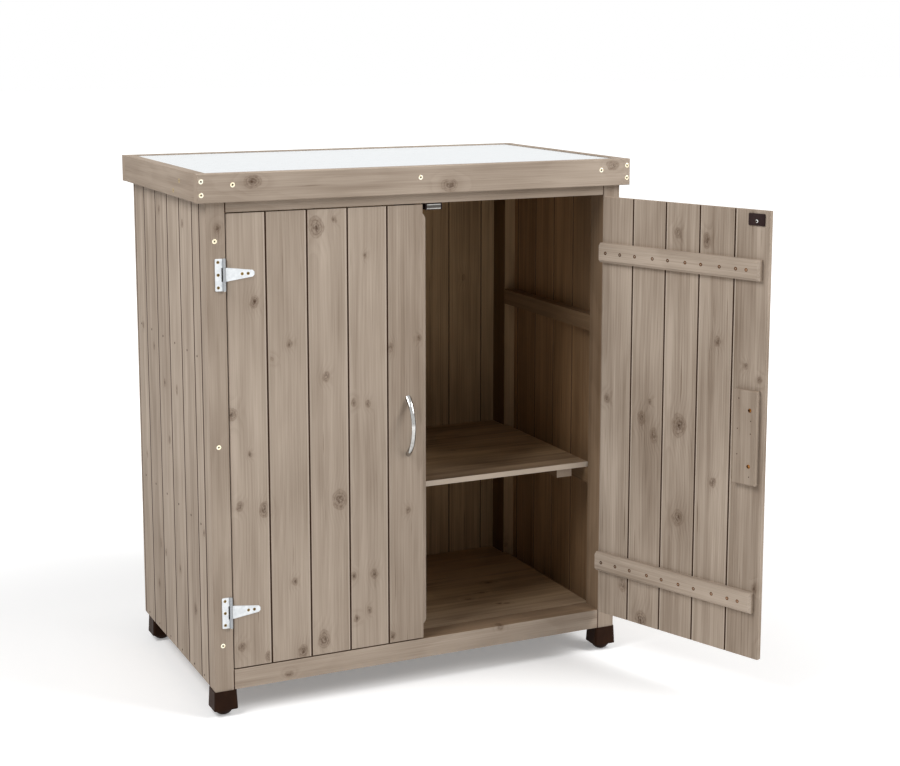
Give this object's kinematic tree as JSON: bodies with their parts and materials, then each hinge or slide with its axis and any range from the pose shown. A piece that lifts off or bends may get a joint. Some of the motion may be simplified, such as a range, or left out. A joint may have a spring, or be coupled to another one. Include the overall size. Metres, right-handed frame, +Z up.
{
  "type": "potting bench",
  "caption": "Wooden garden potting bench: sheet-metal worktop in a timber frame over a cupboard with tongue-and-groove doors on T-hinges and an inner shelf.",
  "frame": {"origin": "on the ground, under the centre of the top", "axes": "+Z up, -Y out of the front with the doors, +X to the right seen from the front"},
  "size_m": [0.8928, 0.8058, 0.916],
  "materials": {
    "stained_wood": "taupe-stained softwood, matt",
    "galvanised_sheet": "smooth galvanised sheet",
    "zinc_plate": "bright zinc plating",
    "chrome": "polished",
    "brass": "yellow passivated",
    "plain_steel": "bright",
    "dark_plastic": "dark brown moulded"
  },
  "bodies": {
    "cabinet": {"apron_front": "stained_wood", "apron_back": "stained_wood", "apron_left": "stained_wood", "apron_right": "stained_wood", "sheet_metal_top": "galvanised_sheet", "top_deck": "stained_wood", "top_bearers": "stained_wood", "front_post_left": "stained_wood", "front_post_right": "stained_wood", "rear_post_left": "stained_wood", "rear_post_right": "stained_wood", "upper_front_rail": "stained_wood", "lower_front_rail": "stained_wood", "shelf_rails_left": "stained_wood", "shelf_rails_right": "stained_wood", "top_rail_left": "stained_wood", "top_rail_right": "stained_wood", "bottom_rail_left": "stained_wood", "bottom_rail_right": "stained_wood", "back_top_rail": "stained_wood", "back_bottom_rail": "stained_wood", "side_boards_left": "stained_wood", "side_boards_right": "stained_wood", "back_boards": "stained_wood", "floor_panel": "stained_wood", "floor_cleats": "stained_wood", "shelf_panel": "stained_wood", "shelf_cleats": "stained_wood", "foot_front_left": "dark_plastic", "foot_front_right": "dark_plastic", "foot_rear_left": "dark_plastic", "foot_rear_right": "dark_plastic", "left_hinge_plates": "zinc_plate", "right_hinge_plates": "zinc_plate", "hinge_pins": "zinc_plate", "catch_left": "dark_plastic", "catch_right": "dark_plastic", "catch_magnets": "plain_steel", "apron_screws": "brass", "post_screws": "brass", "plate_screws": "brass"},
    "left_door": {"left_door_boards": "stained_wood", "left_meeting_strip": "stained_wood", "left_upper_ledger": "stained_wood", "left_lower_ledger": "stained_wood", "left_handle_block": "stained_wood", "left_handle": "chrome", "left_strike_plate": "dark_plastic", "left_hinge_straps": "zinc_plate", "left_strap_screws": "brass", "left_handle_screws": "plain_steel"},
    "right_door": {"right_door_boards": "stained_wood", "right_upper_ledger": "stained_wood", "right_lower_ledger": "stained_wood", "right_handle_block": "stained_wood", "right_handle": "chrome", "right_strike_plate": "dark_plastic", "right_hinge_straps": "zinc_plate", "right_strap_screws": "brass", "right_handle_screws": "plain_steel"}
  },
  "joints": [
    {"name": "left_door_hinge", "type": "hinge", "parent": "cabinet", "child": "left_door", "pos_m": [-0.3555, -0.2305, 0.46575], "axis": [0, 0, -1], "range_deg": [0, 170]},
    {"name": "right_door_hinge", "type": "hinge", "parent": "cabinet", "child": "right_door", "pos_m": [0.3555, -0.2305, 0.46575], "axis": [0, 0, 1], "range_deg": [-110.3, 59.7]}
  ]
}
